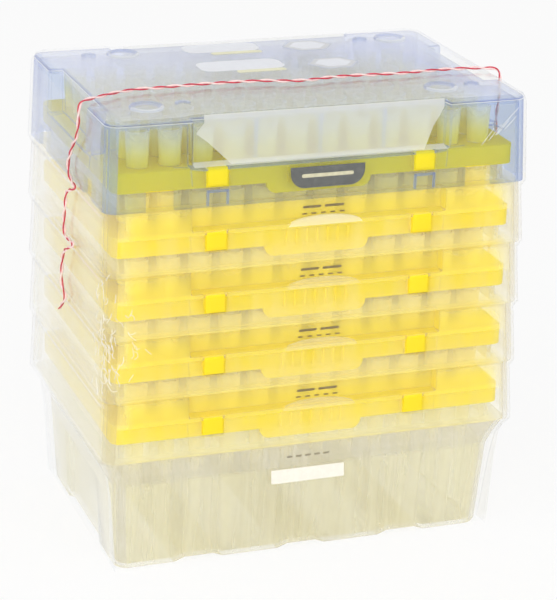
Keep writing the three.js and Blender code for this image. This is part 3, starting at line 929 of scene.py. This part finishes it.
# %% Film shape
ROOM, TUCK = 0.9, 2.0
SLANT_DEPTH, SHEET_AT = 3.3, hood_half[1] + 0.8
# heights over the ledge, and how far the sheet reaches to the left and to the right there
SLANT_EDGE = ((0.0, 26.3, 29.3), (6.0, 32.6, 32.4), (8.4, 35.7, 34.3), (10.9, 33.2, 36.0))
SLANT_OUT = (36.3, 39.5)


def film_levels():
    """Heights of the film, and how far its walls lie inside the block there."""
    over = (FLARE, FLARE)
    levels = [
        (1.2, (FOOT[0] + 0.9, FOOT[1] + 0.9)),
        (WAIST_AT - 4, (WAIST[0] + 0.6, WAIST[1] + 0.6)),
        (FUNNEL_AT, (FUNNEL[0] + 0.9, FUNNEL[1] + 0.9)),
    ]
    for layer in range(LAYERS, 0, -1):
        height = deck[layer] - SHOULDER_DROP
        if layer < LAYERS:
            levels.append((height - TUCK, over))
        levels.append((height, (0.0, 0.0)))
    return levels + [
        (LID_TOP - 1.5, over),
        (LID_TOP + ROOM - 0.2, (FLARE + 1.2, FLARE + 1.2)),
        (LID_TOP + ROOM, (FLARE + 1.9, FLARE + 1.9)),
    ]


form = bmesh.new()
film_half = (hood_half[0] + FLARE + ROOM, hood_half[1] + FLARE + ROOM)
levels = film_levels()
low, high = levels[0][0], levels[-1][0]
block(form, (-film_half[0], -film_half[1], low), (film_half[0], film_half[1], high), CORNER + ROOM)
ledge = deck[1] + LEDGE_RISE + LIP
cut(form, 2, [height for height, _ in levels[1:-1]] + [ledge + rise for rise, _, _ in SLANT_EDGE[:-1]])
cut(form, 0, both(SLANT_EDGE[0][1], *SLANT_OUT), front_walls)
draw_in(form, film_half, levels)


def slant_half(rise, side):
    """Half the width of the slanted sheet at a height over the ledge, on the left or the right."""
    column = 1 if side < 0 else 2
    for below, above in zip(SLANT_EDGE, SLANT_EDGE[1:]):
        if rise <= above[0] + NEAR:
            return below[column] + (above[column] - below[column]) * (rise - below[0]) / (above[0] - below[0])
    return SLANT_EDGE[-1][column]


for vert in form.verts:
    rise = vert.co.z - ledge
    if rise < -NEAR or abs(vert.co.y) < 30 or abs(vert.co.x) > SLANT_OUT[0] + NEAR:
        continue
    share = min(rise / (LID_TOP - ledge), 1)
    if abs(abs(vert.co.x) - SLANT_EDGE[0][1]) < NEAR:
        vert.co.x = math.copysign(slant_half(rise, vert.co.x), vert.co.x)
        vert.co.y = math.copysign(SHEET_AT - SLANT_DEPTH * share, vert.co.y)
    elif share > 0.99:
        vert.co.y = math.copysign(SHEET_AT - SLANT_DEPTH, vert.co.y)
drop(form, [f for f in form.faces if f.normal.z < -0.9])
form.normal_update()
twisted = [f for f in form.faces if len(f.verts) == 4 and f.calc_center_median().z > ledge]
bmesh.ops.triangulate(form, faces=twisted)


def glare_sheet_faces(normal, middle):
    """The flat slanted sheet over the lid's recess, where the film's glare is painted as a milky finish."""
    if middle.z < ledge or abs(middle.x) > slant_half(middle.z - ledge, middle.x):
        return False
    return abs(normal.x) < 0.03 and 0.15 < normal.z < 0.4


skin = BVHTree.FromBMesh(form)
make_piece(
    "film_skin", form, film_plastic, ["shrink_film"], sharp=12,
    zones=[(film_painted_glare, glare_sheet_faces)],
)

# %% [markdown]
# Where the film gathers at the corners it wrinkles, and each wrinkle shows as a fine white line, which is
# partly whitened film and partly a painted glint. They are thin flattened threads of film that lie on the
# skin, made the same way as the string below: a smooth line through a few points, swept by a small round.

# %% Film creases
def smooth_route(points, step):
    """A centripetal spline through points, as points about a step apart."""
    padded = [2 * points[0] - points[1], *points, 2 * points[-1] - points[-2]]
    line = []
    for a, b, c, d in zip(padded, padded[1:], padded[2:], padded[3:]):
        first, middle, last = ((q - p).length ** 0.5 for p, q in ((a, b), (b, c), (c, d)))
        leave = ((b - a) / first - (c - a) / (first + middle) + (c - b) / middle) * middle
        arrive = ((c - b) / middle - (d - b) / (middle + last) + (d - c) / last) * middle
        count = max(2, round((c - b).length / step))
        for place in range(count):
            t = place / count
            line.append(
                (2 * t ** 3 - 3 * t ** 2 + 1) * b + (t ** 3 - 2 * t ** 2 + t) * leave
                + (3 * t ** 2 - 2 * t ** 3) * c + (t ** 3 - t ** 2) * arrive
            )
    return [*line, points[-1]]


def thread(name, lines, radius):
    """A form of round threads along lines of points."""
    curve = bpy.data.curves.new(name, "CURVE")
    curve.dimensions, curve.bevel_depth, curve.bevel_resolution = "3D", radius * MM, 2
    curve.use_fill_caps = True
    for points in lines:
        spline = curve.splines.new("POLY")
        spline.points.add(len(points) - 1)
        for place, point in enumerate(points):
            spline.points[place].co = (*(point * MM), 1)
    holder = add_thing(name, curve)
    bpy.context.view_layer.update()
    mesh = bpy.data.meshes.new_from_object(holder.evaluated_get(bpy.context.evaluated_depsgraph_get()))
    bpy.data.objects.remove(holder)
    form = bmesh.new()
    form.from_mesh(mesh)
    bmesh.ops.scale(form, vec=(1 / MM, 1 / MM, 1 / MM), verts=form.verts)
    return form


def on_front(points):
    """Points of the film's front, from how far along, how far behind its foremost plane, and how high."""
    return smooth_route([Vector((x, behind - film_half[1] + 0.25, z)) for x, behind, z in points], 1.0)


def on_skin(along, z):
    """A point on the film beside the front left corner, from how far it is towards the front."""
    if abs(along) > CORNER:
        beside = abs(along) - CORNER
        outwards = Vector((0, -1, 0)) if along > 0 else Vector((-1, 0, 0))
        start = Vector((beside, 0, 0)) if along > 0 else Vector((0, beside, 0))
    else:
        turn = math.radians(225 + 45 * along / CORNER)
        outwards, start = Vector((math.cos(turn), math.sin(turn), 0)), Vector((0, 0, 0))
    start += Vector((CORNER - film_half[0], CORNER - film_half[1], z))
    spot, normal, *_ = skin.ray_cast(start + 30 * outwards, -outwards)
    return spot + 0.05 * normal


chance = random.Random(5)
crease_lines = [
    on_front([(46.5 + 2.2 * place, 0.9, 119.4 + 1.3 * place), (50.0 + 2.2 * place, 0.9, 124.0 + 1.0 * place)])
    for place in range(4)
]
crease_lines.append(on_front([(50.4, 0.8, 122.0), (53.6, 0.8, 125.8), (57.2, 0.9, 129.4)]))
for _ in range(80):
    along, z, heading = chance.gauss(0, 5), chance.triangular(56, 94, 68), chance.gauss(-1.4, 0.6)
    wrinkle = []
    for _ in range(chance.choice((3, 3, 4, 5))):
        wrinkle.append(on_skin(along, z))
        along += 1.2 * math.cos(heading)
        z += 1.2 * math.sin(heading)
        heading += chance.gauss(0, 0.7)
    crease_lines.append(smooth_route(wrinkle, 0.8))
print(len(crease_lines), "creases in the film")
form = thread("film_creases", crease_lines, 0.09)
make_piece("film_creases", form, film_crease_and_glint, sharp=80)

# %% [markdown]
# The tear string lies on the film, up the left end, across the top and down the right end. It is two thin
# yarns, one red and one undyed, twisted round each other, so red dashes show between pale ones. Its route is
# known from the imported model's points. Each yarn is a curve wound round that route.

# %% String route
STRING_OFF = 1.9
side_x = hood_half[0] + FLARE + STRING_OFF
top_z = LID_TOP + STRING_OFF
inside = (hood_half[0] - WALL, hood_half[1] - WALL)


def on_end(x, shares):
    """Points on an end, as shares of half the depth and of the height."""
    return [Vector((x, across * inside[1], up * LID_TOP)) for across, up in shares]


def on_top(shares, inwards=0.0):
    """Points over the lid, as shares of half the length and of half the depth."""
    x, z = side_x - inwards, top_z - inwards
    return [Vector((along * x, across * inside[1], z)) for along, across in shares]


turn_left, turn_right = on_top([(-1, -0.546), (1, -0.393)], 0.65)
route = [
    *on_end(-side_x, [
        (-0.038, 0.515), (-0.19, 0.561), (-0.102, 0.583), (-0.152, 0.652), (-0.406, 0.697), (-0.178, 0.701),
        (-0.203, 0.765), (-0.241, 0.795), (-0.457, 0.826), (-0.305, 0.841), (-0.292, 0.864), (-0.381, 0.902),
        (-0.508, 0.939), (-0.558, 0.97),
    ]),
    turn_left,
    *on_top([
        (-0.903, -0.47), (-0.729, -0.343), (-0.602, -0.33), (-0.412, -0.312), (-0.143, -0.322),
        (0.032, -0.386), (0.238, -0.345), (0.523, -0.365), (0.713, -0.343), (0.903, -0.368),
    ]),
    turn_right,
    *on_end(side_x, [
        (-0.406, 0.97), (-0.381, 0.894), (-0.431, 0.818), (-0.393, 0.742), (-0.419, 0.667), (-0.381, 0.576),
    ]),
]
line = smooth_route(route, 0.7)
length = sum((b - a).length for a, b in zip(line, line[1:]))
print("the string is", round(length), "mm long, in", len(line), "points")

# %% [markdown]
# The two yarns wind round the route half a turn apart. The undyed one is a little thicker and looser, so
# it hides the red one at each half turn, which leaves red dashes.

# %% String yarns
YARN_PITCH = 9.0


def yarn(name, phase, off, radius, material):
    """One yarn wound round the line, from its place in a turn, its distance from the line and its size."""
    spots, run = [], 0.0
    for place, point in enumerate(line):
        after = line[min(place + 1, len(line) - 1)] - line[max(place - 1, 0)]
        run += (point - line[place - 1]).length if place else 0
        across = after.cross(Vector((0, 1, 0))).normalized()
        up = after.cross(across).normalized()
        turn = 2 * math.pi * run / YARN_PITCH + phase
        spots.append(point + off * (math.cos(turn) * across + math.sin(turn) * up))
    piece = make_piece(name, thread(name, [spots], radius), material, ["tear_string"], sharp=80)
    return piece, spots


def fibre(name, dark, light):
    """Twisted thread: fine noise varies its colour and roughens it."""
    thread = finish(name)
    fluff = thread.noise(1500)
    return thread.show(thread.node("BsdfPrincipled", {
        "Base Color": thread.colours(thread.ramp(fluff, 0.35, 0.65), (*dark, 1), (*light, 1)),
        "Roughness": 0.7,
        "Normal": thread.node("Bump", {"Strength": 0.4, "Distance": 0.0002, "Height": fluff}),
    }))


red_thread = fibre("red_thread", (0.50, 0.02, 0.05), (0.72, 0.06, 0.10))
pale_thread = fibre("pale_thread", (0.90, 0.60, 0.60), (0.95, 0.76, 0.74))
RED_RADIUS = 0.20
red_yarn, red_line = yarn("string_red_yarn", 0.0, 0.24, RED_RADIUS, red_thread)
pale_yarn, _ = yarn("string_pale_yarn", math.pi, 0.30, 0.26, pale_thread)

# %% [markdown]
# The printed marks are kept plain: a dark badge and grey bars where words would stand, dashes along the
# place to press, and pale plaques, bars and hexagon rings on the lid. Each is a thin rounded plate laid on
# the wall, so its edges stay crisp in any view and nothing has to be painted.

# %% Marks on the walls
INK_THICK = 0.06


def ink(name, colour, rough=0.5, uneven=0.25):
    """Printing ink, or paper, a little uneven."""
    print_ink = finish(name)
    spots = print_ink.noise(700, 4)
    thinner = tuple(min(1.0, value * (1 + uneven) + 0.1 * uneven) for value in colour)
    return print_ink.show(print_ink.node("BsdfPrincipled", {
        "Base Color": print_ink.colours(print_ink.ramp(spots, 0.4, 0.75), (*colour, 1), (*thinner, 1)),
        "Roughness": rough,
    }))


def plate(form, low, high, face, corner=0.0, slant=0.0, lower_only=False, stand=0.03):
    """A thin plate on the front wall. low and high are (x, z), and face gives the wall's y at a height."""
    made = block(form, (low[0], -INK_THICK / 2, low[1]), (high[0], INK_THICK / 2, high[1]))
    if corner:
        others = set(form.verts) - set(made)
        edges = edges_along(made, 1)
        if lower_only:
            edges = [e for e in edges if e.verts[0].co.z < low[1] + NEAR]
        round_off(form, edges, corner, 8)
        made = [v for v in form.verts if v not in others]
    for vert in made:
        vert.co.x += slant * (vert.co.z - low[1])
        vert.co.y += face(vert.co.z) - INK_THICK / 2 - stand


def lid_wall(z):
    return -(hood_half[1] + FLARE * (LID_TOP - z) / (LID_TOP - deck[1] + SHOULDER_DROP))


def recess_wall(z):
    return -(hood_half[1] - RECESS[1])


def base_wall(z):
    share = (z - FOOT_ROUND) / (WAIST_AT - FOOT_ROUND)
    return -(hood_half[1] - FOOT[1] + (FOOT[1] - WAIST[1]) * min(share, 1))


dark_ink = ink("dark_ink", (0.075, 0.078, 0.072), 0.35)
grey_ink = ink("grey_ink", (0.16, 0.12, 0.04))
pale_ink = ink("pale_ink", (0.52, 0.49, 0.33))

form = bmesh.new()
plate(form, (-9.4, 111.2), (12.1, 117.1), lid_wall, corner=4.2, lower_only=True)
make_piece("lid_badge", form, dark_ink, sharp=30)
form = bmesh.new()
plate(form, (-6.2, 114.1), (8.8, 115.1), lid_wall, corner=0.45, stand=0.1)
make_piece("lid_badge_bar", form, pale_ink, sharp=30)

form = bmesh.new()
dashes = [2.75 * place for place in range(5)]
for layer in range(2, LAYERS + 1):
    height = deck[layer]
    for start, end in ((-4.4, 0.9), (2.0, 7.6)):
        plate(form, (start, height + 4.25), (end, height + 4.95), recess_wall, corner=0.3, slant=0.25)
    for x in dashes:
        plate(form, (x - 4.5, height + 2.5), (x - 3.1, height + 2.9), recess_wall)
for x in dashes:
    plate(form, (x - 6.4, 30.0), (x - 4.7, 30.6), base_wall)
make_piece("press_marks", form, grey_ink, sharp=30)

# %% [markdown]
# The lid's top carries two plaques with a bar below each, and two hexagons. A hexagon is three thin plates
# on each other, each a little higher, so its ring and its field need no cutting out.

# %% Marks on the lid's top
INK_FOOT = LID_TOP + 0.02


def top_plate(form, low, high, corner):
    """A thin rounded plate on the lid. low and high are (x, y)."""
    block(form, (*low, INK_FOOT), (*high, INK_FOOT + INK_THICK), corner)


def hexagon(form, middle, half, lift):
    """A thin six-sided plate on the lid, with a corner at each side."""
    place = Matrix.Translation((*middle, INK_FOOT + lift)) @ Matrix.Diagonal((*half, 1, 1))
    turned = place @ Matrix.Rotation(math.pi / 6, 4, "Z")
    bmesh.ops.create_cone(
        form, cap_ends=True, segments=6, radius1=1, radius2=1, depth=INK_THICK, matrix=turned
    )


white_ink = ink("white_ink", (0.80, 0.82, 0.88), 0.45, 0.06)
lid_yellow_ink = ink("lid_yellow_ink", (0.80, 0.77, 0.42), 0.45, 0.06)
for name, colour, corner, plates in (
    ("lid_plaques", white_ink, 3.5, (((-18.6, 6.5), (6.6, 17.2)), ((-16.8, 27.6), (6.2, 37.0)))),
    ("lid_plaque_bars", lid_yellow_ink, 0.8, (((-9.2, 3.6), (5.5, 6.3)), ((-9.9, 24.8), (5.5, 27.4)))),
):
    form = bmesh.new()
    for low, high in plates:
        top_plate(form, low, high, corner)
    make_piece(name, form, colour, sharp=30)
outline_ink = ink("outline_ink", (0.46, 0.50, 0.62), 0.45, 0.06)
lid_print_ink = ink("lid_print_ink", (0.58, 0.59, 0.62), 0.45, 0.06)
for name, half, lift, colour in (
    ("lid_hexagon_outlines", (8.0, 6.6), 0.0, outline_ink),
    ("lid_hexagon_fields", (7.2, 5.9), 0.05, lid_print_ink),
    ("lid_hexagon_centres", (5.6, 4.4), 0.10, white_ink),
):
    form = bmesh.new()
    hexagon(form, (21.1, 8.2), half, lift)
    hexagon(form, (20.9, 29.2), half, lift)
    make_piece(name, form, colour, sharp=30)

# %% [markdown]
# The lid is moulded with four shallow round dishes, a low arch beside each, ribs in its recesses and a catch
# round each clip. They are forms of their own on the shell, turned from a profile or set on as blocks.

# %% Dishes, arches and ribs of the lid
DISH_PROFILE = [(3.3, -0.5), (3.5, -0.25), (3.9, 0.25), (4.4, 0.35), (4.8, 0.1), (4.8, -0.5)]
ARCH_PROFILE = [(1.3, 0), (1.3, ARCH_RISE), (2.2, ARCH_RISE), (2.2, 0)]
RIB_DEPTH, CATCH_AT = 0.5, hood_half[1] + 0.8


def on_lid(shares):
    """Places on the lid's top, as shares of the room inside its walls."""
    return [Vector((along * inside[0], across * inside[1], LID_TOP)) for along, across in shares]


DISHES = on_lid([(-0.758, -0.609), (0.694, -0.609), (-0.592, 0.825), (0.824, 0.825)])
form = bmesh.new()
for place in DISHES:
    turn_round(form, DISH_PROFILE, 40, place, closed=True)
for place in on_lid([(-0.585, -0.609), (0.854, -0.609), (-0.768, 0.812), (0.658, 0.812)]):
    ring = outline(form, ARCH_PROFILE, place, closed=True)
    face = form.faces.new(ring[:len(ARCH_PROFILE)])
    bmesh.ops.spin(form, geom=[face, *ring], cent=place, axis=(0, 0, 1), angle=math.pi, steps=14)
recess = hood_half[1] - RECESS[1]
for x in (-18.5, 0.0, 18.5):
    front_and_back(form, (x - 0.4, recess, deck[1] + 2), (x + 0.4, recess + RIB_DEPTH, LID_TOP - 1.2))
catch_foot, catch_bar, catch_top = (deck[1] - below for below in (9.6, 6.0, 5.4))
for middle in both(CLIP_AT):
    ends = (middle - CLIP_HALF, middle + CLIP_HALF)
    for x in ends:
        front_and_back(form, (x - 0.3, CATCH_AT - RIB_DEPTH, catch_foot), (x + 0.3, CATCH_AT, catch_top))
    front_and_back(form, (ends[0], CATCH_AT - RIB_DEPTH, catch_bar), (ends[1], CATCH_AT, catch_top))
face_out(form)


def painted_dish_highlight(normal, middle):
    """The part of a dish that lies towards the front, which takes a painted highlight."""
    dish = next((d for d in DISHES if (middle.xy - d.xy).length < 5), None)
    return dish is not None and middle.y < dish.y - 1


# The dishes' near sides take the painted highlight.
make_piece(
    "lid_details", form, lid_round_plastic, sharp=35, zones=[(lid_painted_highlight_plastic, painted_dish_highlight)]
)

# %% [markdown]
# The label is a plain white paper sticker on the base's waist. Paper fibres vary its white a little.

# %% Label
low, high = span("label")
lean = math.atan((FOOT[1] - WAIST[1]) / (WAIST_AT - FOOT_ROUND))
form = bmesh.new()
block(form, (low.x, -0.15, -2), (high.x, 0.15, 2), 0.3, 4, along=1)
bmesh.ops.rotate(form, cent=(0, 0, 0), matrix=Matrix.Rotation(-lean, 3, "X"), verts=form.verts)
bmesh.ops.translate(form, vec=(low + high) / 2, verts=form.verts)
paper = ink("label_paper", (0.80, 0.77, 0.69), 0.6, 0.06)
make_piece("label_sticker", form, paper, ["label"], sharp=30)
